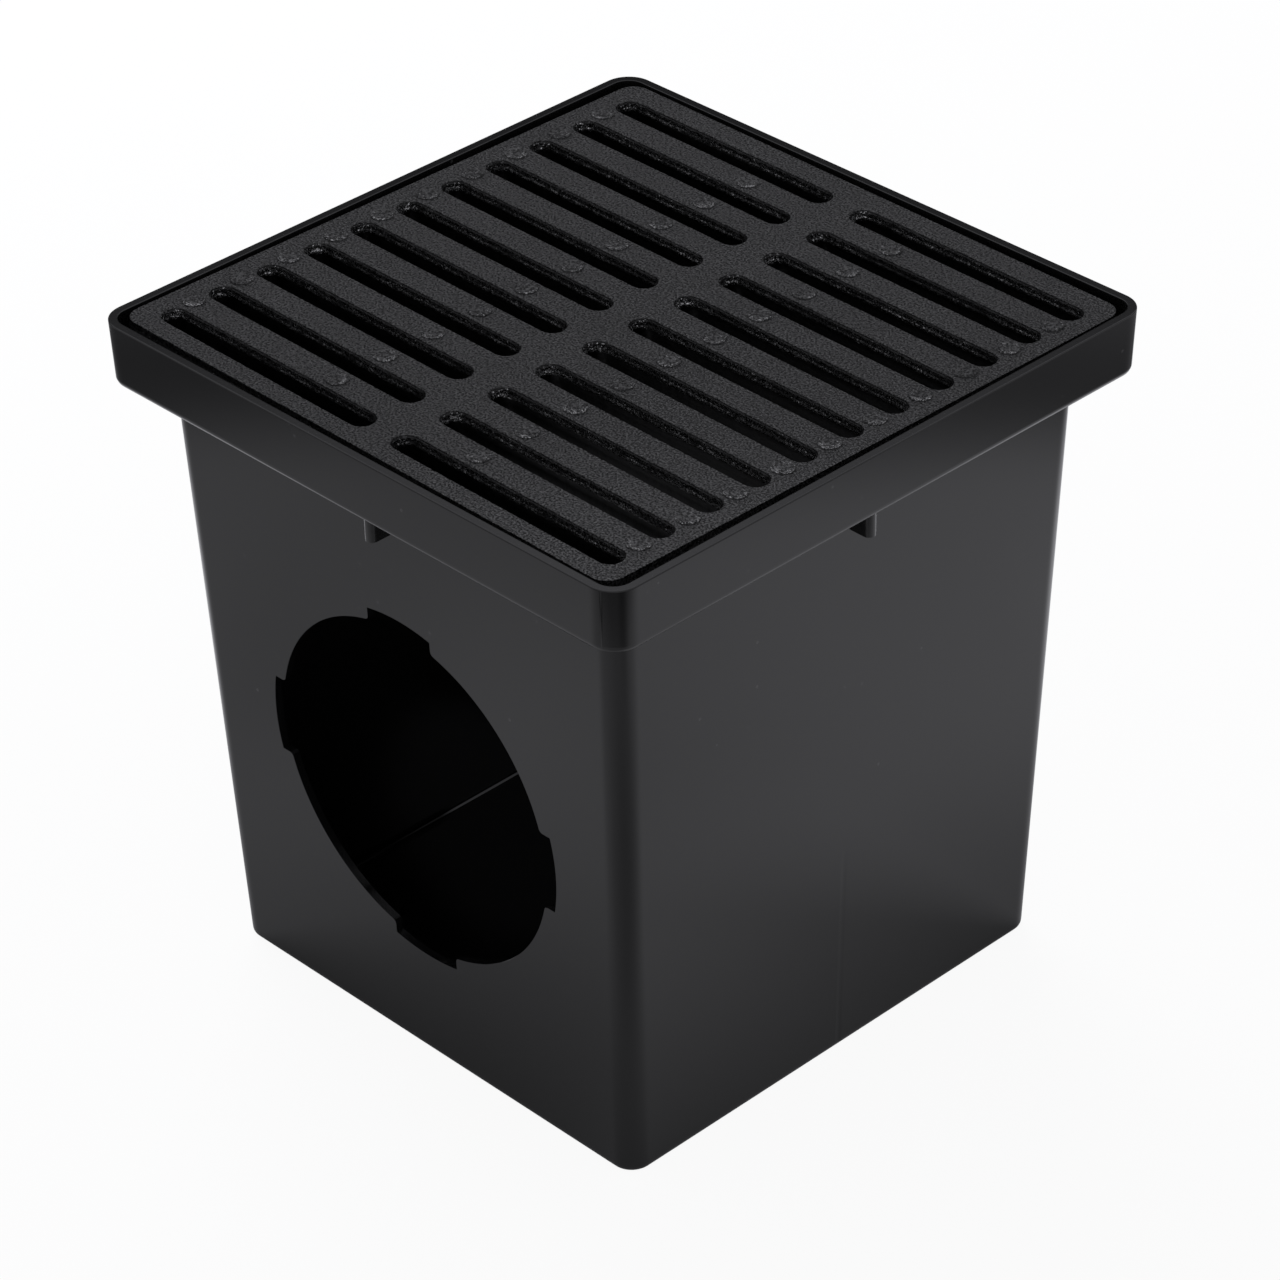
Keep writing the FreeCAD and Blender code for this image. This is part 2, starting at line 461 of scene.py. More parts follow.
grate = {                  # all in mm, unless a comment says otherwise
    "plateTop": topHeight / mm - 0.6,
    "width": 303.8,
    "corner": 9.4,
    "cornerSteps": 12,
    "thickness": 15.0,
    "partingDepth": 3.7,   # where the two halves of the sand mould met
    "upperDraft": 0.45,
    "lowerDraft": 1.2,
    "edgeLip": 0.4,        # rounding along the plate's edge
    "slotLip": 1.6,        # rounding along the slots
    "footLip": 0.5,        # bevel along the underside
    "flash": 0.14,         # ragged fin left along the parting line
    "lipSteps": 4,
    "guard": 0.6,          # flat strip beside each of those
    "rows": 11,
    "slotLength": 132.0,
    "slotWidth": 10.2,
    "slotPitch": 26.82,
    "middleRib": 17.2,
    "shiftX": 0.8,         # of the whole pattern, off the plate's middle
    "shiftY": -1.1,
    "discRadius": 5.2,
    "discSteps": 40,
    "discHeight": 0.62,
    "discOuter": 138.5,    # how far the outer and the inner columns of discs are from the middle
    "discInner": 44.2,
    "turn": -0.69,         # degrees, as the loose casting lies in its seat
    "step": 1.35,          # spacing of the points along every edge
    "weld": 0.01,          # points closer than this are one
    "skinDepth": 0.2,      # how rough the cast walls are
    "skinScale": 480.0,    # per metre
    "skinReach": 1.6,      # the skin has its full depth this far from the top
    "skinTop": 0.25,       # and this share of it at the top, sideways only
    "skinFoot": 0.1,       # clear of the underside, which stays flat
    "noiseSpread": 4.0,    # turns the noise's middle range into a full swing
    "edgeRagged": 0.15,    # how rough the plate's edge is, where a slot's wall is 1
    "wornEnd": 1.4,        # how much rougher each slot is at its -X end
    "wornReach": 6.0,      # and over what length
    "brinkInset": (3.2, 0.9),   # the discs get rougher between these distances from their edge
    "brinkSide": (-0.6, 0.9),   # most of all on the side at +X and -Y, where their brighter flecks stand in for glints, as shares of their radius
    "brinkLeast": 0.2,          # share of it on the far side
    "brinkRagged": 0.8,         # how rough their brink is, where a slot's wall is 1
    "seed": 7.3,
    "sharpFrom": 60.0,
}


def profileCurve(name, points):
    # cross-section for a sweep: x is out from the path, y is down into the casting
    data = bpy.data.curves.new(name, "CURVE")
    data.dimensions = "3D"
    spline = data.splines.new("POLY")
    spline.points.add(len(points) - 1)
    for point, (out, down) in zip(spline.points, points):
        point.co = (out * mm, down * mm, 0, 1)
    return inScene(name, data)


def lipPoints(edge, lip, side):
    # quarter round from the flat top down to the wall; side 1 turns into a slot, -1 over the plate's edge
    points = []
    for step in range(grate["lipSteps"] + 1):
        angle = math.radians(90 * step / grate["lipSteps"])
        points.append((edge + side * lip * (1 - math.sin(angle)), lip * (1 - math.cos(angle))))
    return points


def wallPoints(lip, side):
    # from the top's flat over the lip and the parting line to the underside's flat, as out and down
    g = grate
    down = g["partingDepth"]
    low = g["thickness"]
    foot = g["footLip"]
    points = [(side * (g["upperDraft"] + lip + g["guard"]), 0)]
    points += lipPoints(side * g["upperDraft"], lip, side)
    points += [
        (side * g["upperDraft"] * 0.9, down * 0.68),
        (side * g["upperDraft"] * 0.5, down - 0.6),
        (-side * g["flash"] * 0.7, down - 0.2),
        (-side * g["flash"], down + 0.1),
        (side * 0.3, down + 0.6),
        (side * g["lowerDraft"] * 0.6, down + (low - down) * 0.4),
        (side * g["lowerDraft"], low - foot),
        (side * (g["lowerDraft"] + foot), low),
        (side * (g["lowerDraft"] + foot + g["guard"]), low),
    ]
    return points


def discPoints():
    # from the foot, just outside the disc's edge, up and in over its top
    high = -grate["discHeight"]
    return [
        (0.35, 0), (0.2, 0), (0.08, high * 0.2), (-0.05, high * 0.85), (-0.25, high),
        (-1.0, high), (-1.6, high), (-2.4, high), (-3.4, high), (-4.4, high),
    ]


grateLengths = (
    "Width", "Corner", "Thickness", "Slot Length", "Slot Width", "Slot Pitch", "Middle Rib",
    "Shift X", "Shift Y", "Disc Radius", "Disc Height", "Disc Outer", "Disc Inner", "Plate Top",
    "Step", "Skin Depth",
)
grateFactors = ("Rows", "Skin Scale", "Worn End", "Seed")


def valueOf(name):  # the grate's value for a socket: Slot Length is slotLength
    return grate[name[0].lower() + name[1:].replace(" ", "")]


def grateSockets(group):
    group.interface.new_socket("Grate", in_out="OUTPUT", socket_type="NodeSocketGeometry")
    kinds = {name: "Float" for name in grateLengths + grateFactors + ("Turn",)}
    kinds["Rows"] = "Int"
    kinds |= {"Edge Profile": "Object", "Slot Profile": "Object", "Disc Profile": "Object"}
    kinds["Finish"] = "Material"
    for name, kind in kinds.items():
        group.interface.new_socket(name, in_out="INPUT", socket_type="NodeSocket" + kind)


def position(tree):  # of each point, whole and as X, Y and Z
    whole = tree.node("GeometryNodeInputPosition")
    return whole, tree.node("ShaderNodeSeparateXYZ", {}, {"Vector": whole})


def roundedPath(tree, given, length, width, corner):
    path = tree.node("GeometryNodeCurvePrimitiveQuadrilateral", {}, {"Width": length, "Height": width})
    values = {"Curve": path, "Count": grate["cornerSteps"], "Radius": corner, "Limit Radius": True}
    path = tree.node("GeometryNodeFilletCurve", {"mode": "POLY"}, values)
    values = {"Curve": path, "Length": given["Step"]}
    return tree.node("GeometryNodeResampleCurve", {"mode": "LENGTH"}, values)


def swept(tree, given, path, name):
    profile = tree.node("GeometryNodeObjectInfo", {}, {"Object": given[name]})["Geometry"]
    return tree.node("GeometryNodeCurveToMesh", {}, {"Curve": path, "Profile Curve": profile})


def marked(tree, shape, name, value):  # a value of each point, which the skin and the finish read
    settings = {"data_type": "FLOAT", "domain": "POINT"}
    values = {"Geometry": shape, "Name": name, "Value": value}
    return tree.node("GeometryNodeStoreNamedAttribute", settings, values)


def marks(tree, name):
    attribute = tree.node("GeometryNodeInputNamedAttribute", {"data_type": "FLOAT"}, {"Name": name})
    return attribute["Attribute"]


def inPairs(tree, shape, across, along, rows, x, y):  # two columns with a copy of the shape in each row
    values = {"Size X": across, "Size Y": along, "Vertices X": 2, "Vertices Y": rows}
    points = tree.node("GeometryNodeMeshGrid", {}, values)["Mesh"]
    shift = tree.node("ShaderNodeCombineXYZ", {}, {"X": x, "Y": y})
    points = tree.node("GeometryNodeTransform", {}, {"Geometry": points, "Translation": shift})
    return tree.node("GeometryNodeInstanceOnPoints", {}, {"Points": points, "Instance": shape})


def plateEdge(tree, given):
    path = roundedPath(tree, given, given["Width"], given["Width"], given["Corner"])
    return marked(tree, swept(tree, given, path, "Edge Profile"), "ragged", grate["edgeRagged"])


def slotWalls(tree, given):
    path = roundedPath(tree, given, given["Slot Length"], given["Slot Width"], given["Slot Width"] / 2.0)
    halfLength = given["Slot Length"] / 2.0
    x = position(tree)[1]["X"]
    end = (0 - x).smooth(halfLength - grate["wornReach"] * mm, halfLength)
    slot = swept(tree, given, path, "Slot Profile")
    slot = marked(tree, slot, "ragged", end * given["Worn End"] + 1.0)
    across = given["Slot Length"] + given["Middle Rib"]
    along = given["Slot Pitch"] * (given["Rows"] - 1.0)
    return inPairs(tree, slot, across, along, given["Rows"], given["Shift X"], given["Shift Y"])


def discWalls(tree, given):
    radius = given["Disc Radius"]
    values = {"Resolution": grate["discSteps"], "Radius": radius}
    circle = tree.node("GeometryNodeCurvePrimitiveCircle", {}, values)
    place, at = position(tree)
    fromMiddle = tree.node("ShaderNodeVectorMath", {"operation": "LENGTH"}, {0: place})["Value"]
    inner, outer = [inset * mm for inset in grate["brinkInset"]]
    low, high = grate["brinkSide"]
    toCorner = (at["X"] - at["Y"]).smooth(radius * low, radius * high)
    least = grate["brinkLeast"]
    brink = fromMiddle.smooth(radius - inner, radius - outer) * (toCorner * (1 - least) + least)
    disc = marked(tree, swept(tree, given, circle, "Disc Profile"), "ragged", 1.0)
    disc = marked(tree, disc, "brink", brink)
    rows = given["Rows"] - 1.0
    along = given["Slot Pitch"] * (rows - 1.0)
    return [
        inPairs(tree, disc, given[name] * 2.0, along, rows, 0.0, given["Shift Y"])
        for name in ("Disc Outer", "Disc Inner")
    ]


def withFlats(tree, given, walls):  # each flat is filled between the open edges that lie at its height
    height = position(tree)[1]["Z"]
    isOpen = tree.node("GeometryNodeInputMeshEdgeNeighbors")["Face Count"] < 1.5
    weld = grate["weld"] * mm
    flats = []
    for level in (0.0, given["Disc Height"], given["Thickness"] * -1.0):
        here = (abs(height - level) < weld) * isOpen
        outline = tree.node("GeometryNodeMeshToCurve", {}, {"Mesh": walls, "Selection": here})
        flat = tree.node("GeometryNodeFillCurve", {"mode": "TRIANGLES"}, {"Curve": outline})
        lift = tree.node("ShaderNodeCombineXYZ", {}, {"Z": level})
        flats.append(tree.node("GeometryNodeTransform", {}, {"Geometry": flat, "Translation": lift}))
    shape = tree.node("GeometryNodeJoinGeometry", {}, {"Geometry": [walls] + flats})
    return tree.node("GeometryNodeMergeByDistance", {}, {"Geometry": shape, "Distance": weld})


def withSkin(tree, given, shape):  # walls and discs wander a little, and the flat top stays flat
    place, at = position(tree)
    values = {"Vector": place, "W": given["Seed"], "Scale": given["Skin Scale"], "Detail": 3.0}
    wander = tree.node("ShaderNodeTexNoise", {"noise_dimensions": "4D"}, values)["Color"]
    wander = tree.node("ShaderNodeVectorMath", {"operation": "SUBTRACT"}, {0: wander, 1: (0.5, 0.5, 0.5)})
    deep = abs(at["Z"]).smooth(0.0, grate["skinReach"] * mm)
    rough = marks(tree, "ragged") + marks(tree, "brink") * grate["brinkRagged"]
    amount = given["Skin Depth"] * grate["noiseSpread"] * rough
    flatwise = amount * (deep * (1 - grate["skinTop"]) + grate["skinTop"])
    upwise = amount * deep * (at["Z"] > grate["skinFoot"] * mm - given["Thickness"])
    stretch = tree.node("ShaderNodeCombineXYZ", {}, {"X": flatwise, "Y": flatwise, "Z": upwise})
    wander = tree.node("ShaderNodeVectorMath", {"operation": "MULTIPLY"}, {0: wander, 1: stretch})
    return tree.node("GeometryNodeSetPosition", {}, {"Geometry": shape, "Offset": wander})


def grateTree():
    group = bpy.data.node_groups.new("slottedGrate", "GeometryNodeTree")
    grateSockets(group)
    tree = Tree(group)
    given = tree.node("NodeGroupInput")
    walls = [plateEdge(tree, given), slotWalls(tree, given)] + discWalls(tree, given)
    walls = tree.node("GeometryNodeJoinGeometry", {}, {"Geometry": walls})
    walls = tree.node("GeometryNodeRealizeInstances", {}, {"Geometry": walls})
    shape = withSkin(tree, given, withFlats(tree, given, walls))
    turn = tree.node("ShaderNodeCombineXYZ", {}, {"Z": given["Turn"]})
    lift = tree.node("ShaderNodeCombineXYZ", {}, {"Z": given["Plate Top"]})
    values = {"Geometry": shape, "Translation": lift, "Rotation": turn}
    shape = tree.node("GeometryNodeTransform", {}, values)
    shape = tree.node("GeometryNodeRealizeInstances", {}, {"Geometry": shape})
    shape = tree.node("GeometryNodeSetMaterial", {}, {"Geometry": shape, "Material": given["Finish"]})
    tree.node("NodeGroupOutput", {}, {"Grate": shape})
    return group


def makeGrate(finish):
    profiles = {
        "Edge Profile": profileCurve("edgeProfile", wallPoints(grate["edgeLip"], -1)),
        "Slot Profile": profileCurve("slotProfile", wallPoints(grate["slotLip"], 1)),
        "Disc Profile": profileCurve("discProfile", discPoints()),
    }
    values = {name: valueOf(name) * mm for name in grateLengths}
    values |= {name: valueOf(name) for name in grateFactors}
    values |= {"Turn": math.radians(grate["turn"]), "Finish": finish, **profiles}
    piece = inScene("gullyGrate", bpy.data.meshes.new("gullyGrate"))
    builder = piece.modifiers.new("slottedGrate", "NODES")
    builder.node_group = grateTree()
    for socket in builder.node_group.interface.items_tree:
        if socket.in_out == "INPUT":
            builder[socket.identifier] = values[socket.name]
    applyModifiers(piece)
    for curve in profiles.values():
        bpy.data.objects.remove(curve)
    turnFacesOut(piece.data)
    shadeByAngle(piece, grate["sharpFrom"])
    return piece


# Finishes

def newFinish(name):
    material = bpy.data.materials.new(name)
    material.use_nodes = True
    tree = Tree(material.node_tree)
    shader = Node(tree, material.node_tree.nodes["Principled BSDF"])
    place = tree.node("ShaderNodeTexCoord")["Object"]
    return material, tree, shader, place


def setShader(shader, values):
    for name, value in values.items():
        if isinstance(value, Wire):
            shader.tree.nodeTree.links.new(value.socket, shader.node.inputs[name])
        else:
            shader.node.inputs[name].default_value = value


def grey(tree, value):
    return tree.node("ShaderNodeCombineColor", {}, {"Red": value, "Green": value, "Blue": value})[0]


def noise(tree, place, scale, detail):
    values = {"Vector": place, "Scale": scale, "Detail": detail}
    return tree.node("ShaderNodeTexNoise", {}, values)["Fac"]


def specks(tree, place, scale):  # distance from the nearest speck, and two random values of its own
    cells = tree.node("ShaderNodeTexVoronoi", {}, {"Vector": place, "Scale": scale})
    own = tree.node("ShaderNodeSeparateColor", {}, {"Color": cells["Color"]})
    return cells["Distance"], own["Red"], own["Green"]


def bumped(tree, height):  # the normal of a skin that stands this many metres high
    values = {"Strength": 1.0, "Distance": 1.0, "Height": height}
    return tree.node("ShaderNodeBump", {}, values)["Normal"]


def inMetres(lengths):
    return [length * mm for length in lengths]


plastic = {
    "tone": 0.004,
    "toneSpread": 0.25,
    "flowScale": 9.0,      # slow changes of tone and gloss, per metre
    "roughness": 0.13,
    "roughnessSpread": 0.04,
    "skinScale": 900.0,    # fine unevenness, per metre, and its depth in mm
    "skinDepth": 0.005,
    "lineDepth": 0.09,     # mm, of the faint groove up the middle of the two side walls
    "lineEdge": (0.2, 2.2),      # mm from its middle, between which it runs out sideways
    "lineTop": (95.0, 118.0),    # mm above the ground, between which it runs out upwards
    "dustScale": 90.0,     # specks per metre, before dustShare thins them out
    "dustEdge": (0.05, 0.09),    # their reach, as a share of their spacing
    "dustShare": 0.35,
    "dustTone": 0.035,
    "grime": 0.6,          # painted shade: how much near-black metal blacks out the floor inside
    "edgeGrime": 0.88,     # and its rounded edge, towards the front outlet
    "grimeEdge": (-2.0, 10.0),   # mm in front of the middle, between which that comes in
    "grimeTop": 8.0,       # mm above the ground
    "outerShare": 0.88,    # share of the wall's thickness that counts as outside, clear of its corners
    "floorSlack": 0.1,     # mm above the floor that still count as flat
    "refraction": 1.5,
}


def mouldingLine(at, outside):  # 1 in the middle of the groove where the mould's halves met
    across = 1 - abs(at["Y"]).smooth(*inMetres(plastic["lineEdge"]))
    return across * outside * (1 - at["Z"].smooth(*inMetres(plastic["lineTop"])))


def shadeInside(at, limit):  # painted shade on the basin's floor, stronger on the floor's edge towards the front
    p = plastic
    inside = (abs(at["X"]) < limit) * (abs(at["Y"]) < limit) * (at["Z"] > basin["floor"] / 2 * mm)
    towardsFront = (0 - at["Y"]).smooth(*inMetres(p["grimeEdge"]))
    edge = towardsFront * (at["Z"] < p["grimeTop"] * mm) * p["edgeGrime"]
    flat = at["Z"] < (basin["floor"] + p["floorSlack"]) * mm
    return (flat * p["grime"] + (1 - flat) * edge) * inside


def plasticFinish():
    p = plastic
    material, tree, shader, place = newFinish("blackPlastic")
    flow = noise(tree, place, p["flowScale"], 3.0)
    fine = noise(tree, place, p["skinScale"], 2.0)
    distance, chance, weight = specks(tree, place, p["dustScale"])
    dust = (1 - distance.smooth(*p["dustEdge"])) * (chance < p["dustShare"]) * weight
    tone = p["tone"] * (1 + (flow - 0.5) * p["toneSpread"]) + dust * p["dustTone"]
    at = tree.node("ShaderNodeSeparateXYZ", {}, {"Vector": place})
    limit = (bodyHalf(at["Z"] / mm) - basin["wall"] * p["outerShare"]) * mm
    line = mouldingLine(at, abs(at["X"]) > limit)
    setShader(shader, {
        "Base Color": grey(tree, tone),
        "Roughness": p["roughness"] + (flow - 0.5) * p["roughnessSpread"],
        "Metallic": shadeInside(at, limit),   # painted shade: near-black metal mirrors nothing, which darkens the floor inside
        "IOR": p["refraction"],
        "Normal": bumped(tree, (fine * p["skinDepth"] - line * p["lineDepth"]) * mm),
    })
    return material


iron = {
    "tone": 0.036,
    "toneLow": 0.25,       # share of it that the darkest grains have
    "toneGain": 1.9,       # and how much more the lightest have
    "toneGrain": (0.36, 0.64),   # the grain's own values, between which that changes
    "patchLow": 0.8,       # the tone also changes slowly from place to place, from this share of it
    "patchGain": 0.4,
    "patchScale": 40.0,    # per metre
    "dust": 0.35,          # painted: how much lighter the top's tone is towards the near corner
    "dustReach": (0.12, 0.27),   # metres towards it, between which that comes in
    "roughness": 0.3,
    "roughnessSpread": 0.3,
    "grain": 1050.0,       # grains per metre in the sand-cast skin
    "topDepth": 1.5,       # depth of the grain on the flat top, in mm
    "sideDepth": 0.05,     # on the plate's outer edge
    "sideEdge": (0.1, 0.6),      # mm below the top, between which top gives way to side
    "sideDark": 0.8,       # painted shade: share of its tone that a side loses
    "speck": 1300.0,       # knobs of sand per metre on the broken skin
    "speckEdge": (0.5, 0.66),    # the noise's own values, between which a knob rises
    "wallDepth": 0.5,      # mm, of those knobs on the slots' walls
    "wallShine": 0.1,      # how much less rough those walls are
    "wallMetal": 0.3,      # share of dark metal in them, painted shade that dims their reflections
    "deepDull": 0.15,      # how much rougher they are below the parting line
    "deepMetal": 0.85,     # share of dark metal there, painted shade which keeps the slots black inside
    "ridge": (0.6, 3.2, 4.6, 5.2),   # mm below the top, between which the broken skin comes and goes
    "ridgeDepth": 0.3,     # added along the parting line, where the sand broke away
    "brinkDepth": 0.6,     # and round the raised discs
    "knobEdge": (0.36, 0.52),    # mm above the top, between which a disc's rough brink starts
    "crackEdge": (-0.05, 0.1),   # and the painted shade round its foot
    "crackDark": 0.8,      # share of its tone that this painted shade takes away
    "broken": (0.34, 0.56),      # the slow noise's own values, between which bare flecks come in
    "bareGrain": 1700.0,   # bright flecks of bare iron per metre there
    "bareShare": 0.4,      # of the broken ridge
    "brinkShare": 0.45,    # of the discs' brinks
    "wornShare": 0.14,     # and of the slots' worn ends
    "wornEdge": (1.0, 2.2),      # how ragged the wall is, between which it counts as worn
    "bareTone": 0.3,
    "brinkTone": 0.3,      # how much brighter the flecks on brinks and worn ends are: bare iron, brightened as painted glints
}


def ironFinish():
    p = iron
    material, tree, shader, place = newFinish("castIron")
    at = tree.node("ShaderNodeSeparateXYZ", {}, {"Vector": place})
    down = grate["plateTop"] * mm - at["Z"]
    howRagged = tree.node("ShaderNodeAttribute", {"attribute_name": "ragged"})["Fac"]
    ragged = howRagged.smooth(0, 1)
    brink = tree.node("ShaderNodeAttribute", {"attribute_name": "brink"})["Fac"]

    # Where the skins are, each 0 to 1: the parting line's ridge, walls above and below it, discs' brinks
    start, full, fade, end = inMetres(p["ridge"])
    above = 1 - down.smooth(fade, end)
    ridge = down.smooth(start, full) * above * ragged
    knob = brink * (0 - down).smooth(*inMetres(p["knobEdge"]))
    # painted shade in the crease round each disc's foot, which darkens its tone
    footShade = brink * (0 - down).smooth(*inMetres(p["crackEdge"])) - knob
    side = down.smooth(*inMetres(p["sideEdge"]))
    wall = side * ragged * above
    worn = side * above * howRagged.smooth(*p["wornEdge"])
    deep = side * ragged * (1 - above)

    grains = noise(tree, place, p["grain"], 2.0)
    knobs = noise(tree, place, p["speck"], 1.0).smooth(*p["speckEdge"])
    patches = noise(tree, place, p["patchScale"], 4.0)
    height = grains * (p["topDepth"] * (1 - side) + p["sideDepth"] * side)
    depth = wall * p["wallDepth"] + ridge * p["ridgeDepth"] + knob * p["brinkDepth"]
    height = (height + knobs * depth) * mm

    chance, weight = specks(tree, place, p["bareGrain"])[1:]
    broken = patches.smooth(*p["broken"])
    share = broken * (ridge * p["bareShare"] + knob * p["brinkShare"]) + worn * p["wornShare"]
    bare = (chance < share) * weight
    light = grains.smooth(*p["toneGrain"])
    grainTone = p["toneLow"] + light * light * p["toneGain"]
    tone = p["tone"] * (p["patchLow"] + patches * p["patchGain"]) * grainTone
    # painted shade: the walls are darker in tone than the flat top
    tone = tone * (1 - side * p["sideDark"]) * (1 - footShade * p["crackDark"])
    # painted lightening of the tone towards the near corner
    tone = tone * (1 + (at["X"] - at["Y"]).smooth(*p["dustReach"]) * p["dust"])
    # bare-iron flecks, brightened on the discs' +X and -Y sides and the slots' -X ends as painted glints
    tone = tone + bare * (p["bareTone"] + (knob + worn) * p["brinkTone"])
    roughness = p["roughness"] + (grains - 0.5) * p["roughnessSpread"] - wall * p["wallShine"]
    # painted shade: dark metal on the slots' walls, most of all below the parting line, mirrors little
    setShader(shader, {
        "Base Color": grey(tree, tone),
        "Roughness": roughness + deep * p["deepDull"],
        "Metallic": bare + deep * p["deepMetal"] + wall * p["wallMetal"],
        "Normal": bumped(tree, height),
    })
    return material


# Stage: camera, pale floor and soft light

photo = {
    "place": (1.30716, -1.23921, 1.35473),
    "turn": (56.411, 1.113, 45.642),   # degrees
    "lens": 136.5,                     # mm, on a sensor this wide
    "sensor": 36.0,
    "farthest": 100.0,                 # metres that the camera sees
}

studio = {
    "floorReach": 12.0,
    "floorTone": 0.82,
    "floorWhite": 0.93,      # share of plain white in the floor that the camera sees
    "mirroredTone": 0.43,    # the floor as the object mirrors it: its tone on the camera's left
    "mirroredGain": 0.4,     # how much lighter it is on the right, as painted light
    "rightEdge": (-0.75, 0.45),    # metres, X and Y together, between which left gives way to right
    "mirroredGlow": 0.08,    # and its plain white share, which lifts the shadow
    "poolMiddle": (-0.027, 0.007, 0.0),
    "poolStart": 0.55,       # the light on the floor falls off between these distances from there
    "poolEnd": 0.67,
    "poolFall": 0.76,        # share of it that is lost, out of the camera's sight
    "farStart": 0.68,        # the floor far off is lit again
    "farEnd": 0.9,
    "farGain": 0.6,
    "footStart": 0.14,       # painted shade: it is a little darker close round the basin's foot
    "footEnd": 0.32,
    "footFall": 0.34,
    "worldLight": 0.55,
    "mirroredSky": 0.5,      # the bright wall above and around, as the object mirrors it
    "backSky": 0.64,         # the same at the back
    "darkSky": 0.06,         # the dark below it there
    "skyEdge": (0.498, 0.54),    # where one gives way to the other, as a share of straight up
    "backEdge": (0.1, 0.5),      # how far back a direction points, between which around becomes back
    "tint": (1.0, 1.0, 1.06),
}

# Painted light and shade on the floor as the object mirrors it: middle, reach and how much lighter
floorSpots = {
    "dusk": {"middle": (0.58, -0.27, 0), "reach": 0.2, "gain": -0.6},    # where the shadow points
    "corner": {"middle": (0.3, -0.26, 0), "reach": 0.3, "gain": -0.35},
    "nearFoot": {"middle": (0.2, -0.03, 0), "reach": 0.2, "gain": 0.5},
    "farFoot": {"middle": (0.13, 0.2, 0), "reach": 0.15, "gain": -0.25},
    "front": {"middle": (-0.15, -0.38, 0), "reach": 0.2, "gain": 0.18},
    "left": {"middle": (-0.42, -0.12, 0), "reach": 0.22, "gain": 0.9},
    "leftFoot": {"middle": (-0.28, -0.25, 0), "reach": 0.16, "gain": -0.13},
    "right": {"middle": (0.2, 0.42, 0), "reach": 0.17, "gain": 0.5},
}

# Soft lights, out of the object's reflections: where each hangs, its width and height in metres, and its
# brightness (1 is paper white)
softboxes = {
    "backLight": {"place": (-2.08, 0.9, 1.8), "size": (2.2, 1.4), "bright": 5.5},
}


def placeCamera():
    camera = inScene("photoCamera", bpy.data.cameras.new("photoCamera"))
    camera.location = photo["place"]
    camera.rotation_euler = [math.radians(angle) for angle in photo["turn"]]
    camera.data.lens = photo["lens"]
    camera.data.sensor_width = photo["sensor"]
    camera.data.clip_end = photo["farthest"]
    bpy.context.scene.camera = camera


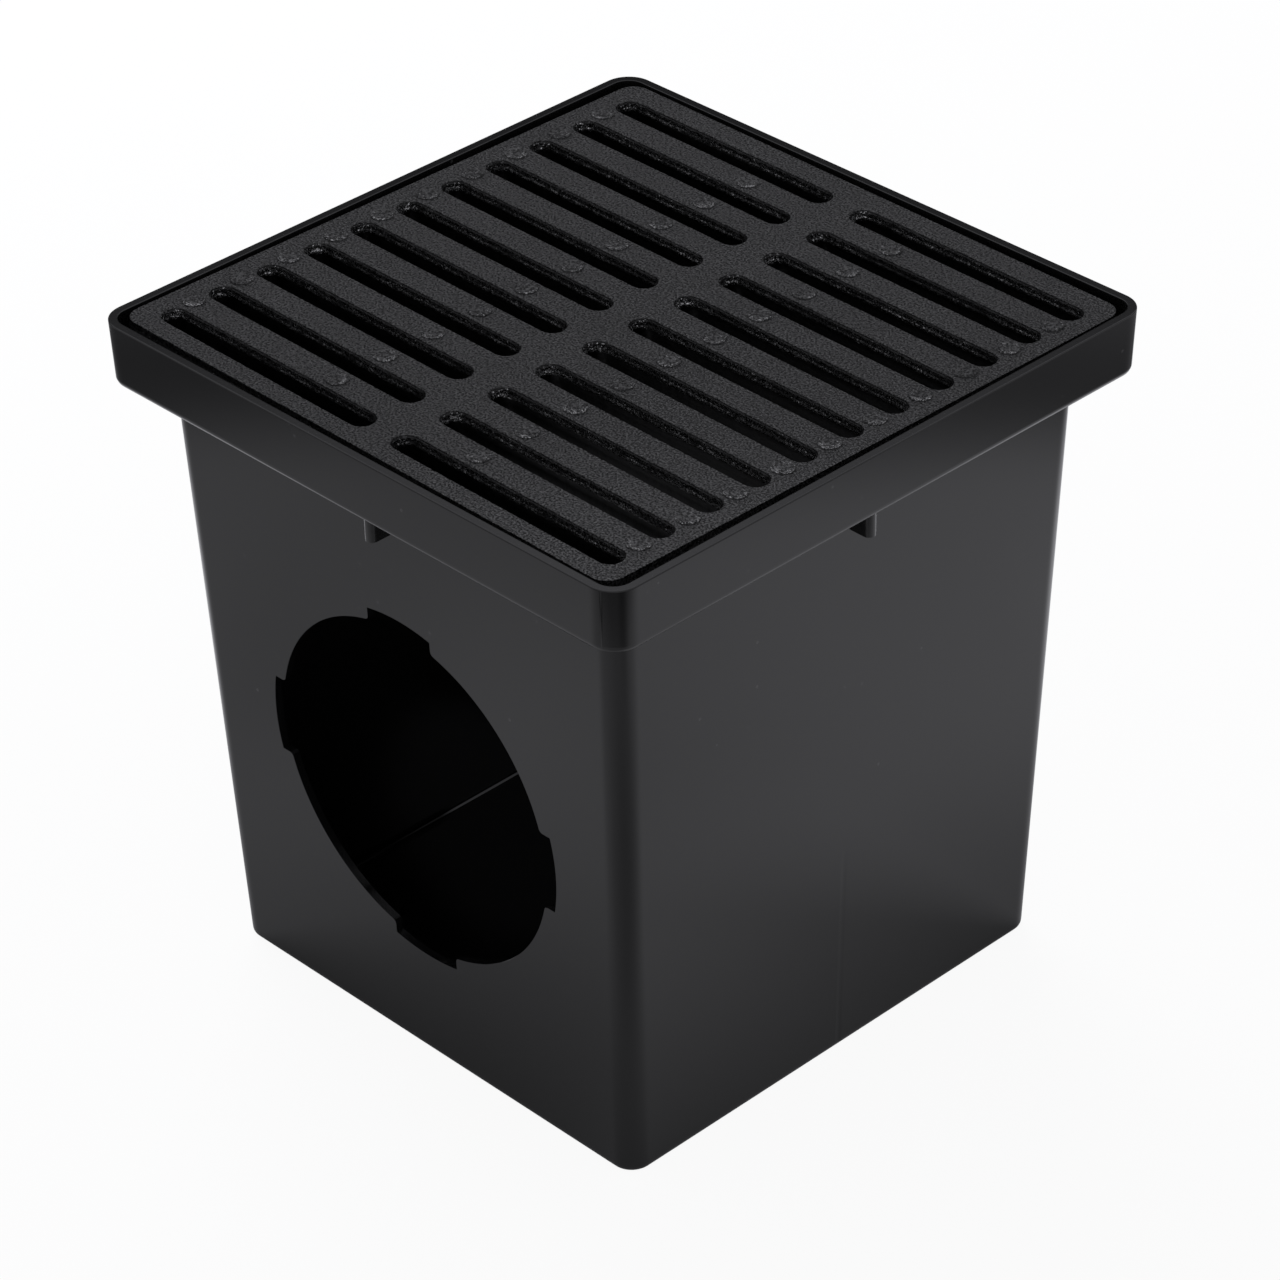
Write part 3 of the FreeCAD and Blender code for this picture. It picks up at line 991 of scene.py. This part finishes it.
def makeFloor():
    reach = studio["floorReach"]
    corners = [(-reach, -reach, 0), (reach, -reach, 0), (reach, reach, 0), (-reach, reach, 0)]
    floor = meshObject("floor", corners, [(0, 1, 2, 3)])
    material = bpy.data.materials.new("paleFloor")
    material.use_nodes = True
    material.node_tree.nodes.clear()
    tree = Tree(material.node_tree)
    path = tree.node("ShaderNodeLightPath")
    mirrored = path["Is Glossy Ray"]
    place = tree.node("ShaderNodeTexCoord")["Object"]

    def distance(spot):
        return tree.node("ShaderNodeVectorMath", {"operation": "DISTANCE"}, {0: place, 1: spot})["Value"]

    away = distance(studio["poolMiddle"])
    pool = 1 - away.smooth(studio["poolStart"], studio["poolEnd"]) * studio["poolFall"]
    pool = pool * (1 - (1 - away.smooth(studio["footStart"], studio["footEnd"])) * studio["footFall"])
    pool = pool + away.smooth(studio["farStart"], studio["farEnd"]) * studio["farGain"]
    for spot in floorSpots.values():
        pool = pool * (1 + (1 - distance(spot["middle"]).smooth(0, spot["reach"])) * spot["gain"])
    at = tree.node("ShaderNodeSeparateXYZ", {}, {"Vector": place})
    toRight = (at["X"] + at["Y"]).smooth(*studio["rightEdge"])
    # painted light and shade: the floor's tone as the object mirrors it
    mirroredTone = pool * (studio["mirroredTone"] + toRight * studio["mirroredGain"])
    tone = (1 - mirrored) * studio["floorTone"] + mirrored * mirroredTone
    matt = tree.node("ShaderNodeBsdfDiffuse", {}, {"Color": grey(tree, tone)})
    glow = 1 - mirrored * (1 - pool)
    white = tree.node("ShaderNodeEmission", {}, {"Color": (1, 1, 1, 1), "Strength": glow})
    share = (path["Is Camera Ray"] + path["Is Transmission Ray"]) * studio["floorWhite"]
    share = share + mirrored * studio["mirroredGlow"]
    mixed = tree.node("ShaderNodeMixShader", {}, {0: share, 1: matt, 2: white})
    tree.node("ShaderNodeOutputMaterial", {}, {"Surface": mixed})
    material.cycles.emission_sampling = "NONE"
    floor.data.materials.append(material)


def hangSoftbox(name, box):
    width, height = box["size"]
    light = bpy.data.lights.new(name, "AREA")
    light.shape = "RECTANGLE"
    light.size = width
    light.size_y = height
    light.energy = box["bright"] * math.pi * width * height
    light.color = studio["tint"]
    lamp = inScene(name, light)
    lamp.location = box["place"]
    aim = Vector((0, 0, rimHalf)) - lamp.location   # at about the object's middle
    lamp.rotation_euler = aim.to_track_quat("-Z", "Y").to_euler()
    lamp.visible_glossy = False


def lightStudio():
    world = bpy.data.worlds.new("studio")
    bpy.context.scene.world = world
    world.use_nodes = True
    world.cycles.sampling_method = "NONE"
    tree = Tree(world.node_tree)
    mirrored = tree.node("ShaderNodeLightPath")["Is Glossy Ray"]
    way = tree.node("ShaderNodeTexCoord")["Generated"]
    way = tree.node("ShaderNodeSeparateXYZ", {}, {"Vector": way})
    behind = (way["Y"] - way["X"]).smooth(*studio["backEdge"])
    high = way["Z"].smooth(*studio["skyEdge"])
    back = studio["darkSky"] + high * (studio["backSky"] - studio["darkSky"])
    sky = studio["mirroredSky"] + behind * (back - studio["mirroredSky"])
    background = Node(tree, world.node_tree.nodes["Background"])
    setShader(background, {
        "Color": (*studio["tint"], 1),
        "Strength": mirrored * sky + (1 - mirrored) * studio["worldLight"],
    })
    for name, box in softboxes.items():
        hangSoftbox(name, box)
    bpy.context.scene.view_settings.view_transform = "Standard"


placeCamera()
makeFloor()
lightStudio()
print("stage: set")

catchBasin = makeBasin()
catchBasin.data.materials.append(plasticFinish())
print("basin:", len(catchBasin.data.polygons), "faces")

gullyGrate = makeGrate(ironFinish())
print("grate:", len(gullyGrate.data.polygons), "faces")

for piece, node, slot in ((catchBasin, "basin", "basin_plastic"), (gullyGrate, "grate", "grate_iron")):
    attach(piece, "root")
    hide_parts(node)
